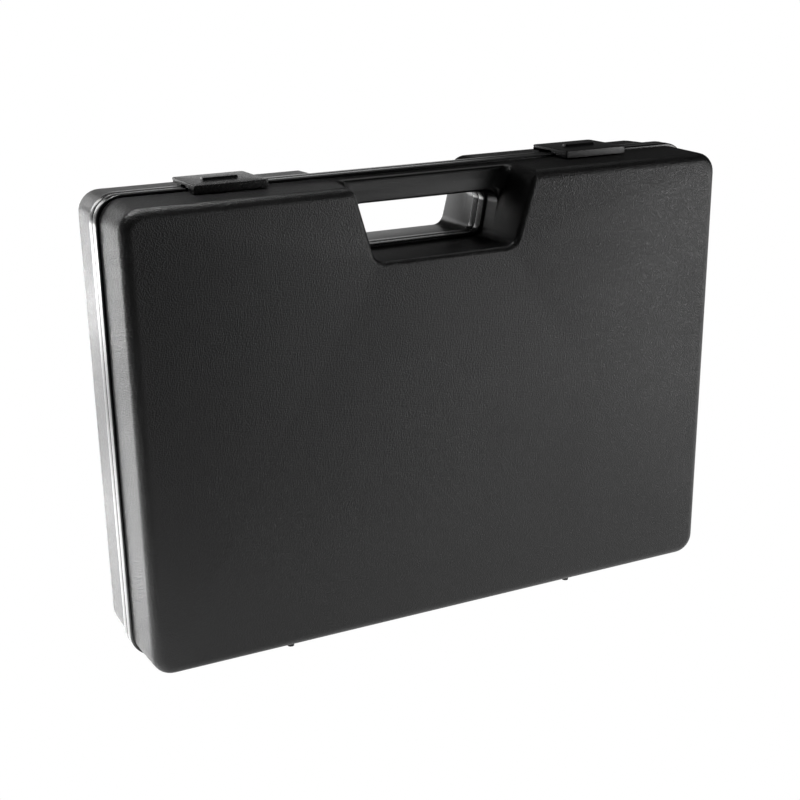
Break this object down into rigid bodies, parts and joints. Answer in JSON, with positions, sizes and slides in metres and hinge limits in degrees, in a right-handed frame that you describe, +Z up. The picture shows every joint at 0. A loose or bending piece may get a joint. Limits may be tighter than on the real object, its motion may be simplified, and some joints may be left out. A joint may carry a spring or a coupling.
{
  "type": "hard tool case",
  "caption": "Upright hard-shell tool case with deep hinged half shells, moulded-in top handle, polished rims and slide latches over the closing edge.",
  "frame": {"origin": "centre of the case's footprint on the ground, in the parting plane between the two shells", "axes": "+Z up from the feet to the handle, +X along the case's width, -Y towards the lid's face"},
  "size_m": [0.42, 0.093, 0.3066],
  "materials": {
    "lid_shell": "black moulded plastic with a fine leather grain",
    "base_shell": "black moulded plastic with a fine leather grain",
    "lid_rim": "black moulded plastic, smooth and polished",
    "base_rim": "black moulded plastic, smooth and polished",
    "latches": "black moulded plastic, satin",
    "pins": "bright drawn steel"
  },
  "bodies": {
    "base": {"rear_shell": "base_shell", "rear_rim": "base_rim", "hinge_pin_left": "pins", "hinge_pin_right": "pins"},
    "lid": {"front_shell": "lid_shell", "front_rim": "lid_rim"},
    "left_slide": {"latch_left": "latches"},
    "right_slide": {"latch_right": "latches"}
  },
  "joints": [
    {"name": "lid_hinge", "type": "hinge", "parent": "base", "child": "lid", "pos_m": [0, 0, 0.0036], "axis": [1, 0, 0], "range_deg": [0, 180]},
    {"name": "left_latch_slide", "type": "slide", "parent": "lid", "child": "left_slide", "axis": [-1, 0, 0], "range_m": [0, 0.012]},
    {"name": "right_latch_slide", "type": "slide", "parent": "lid", "child": "right_slide", "axis": [1, 0, 0], "range_m": [0, 0.012]}
  ]
}
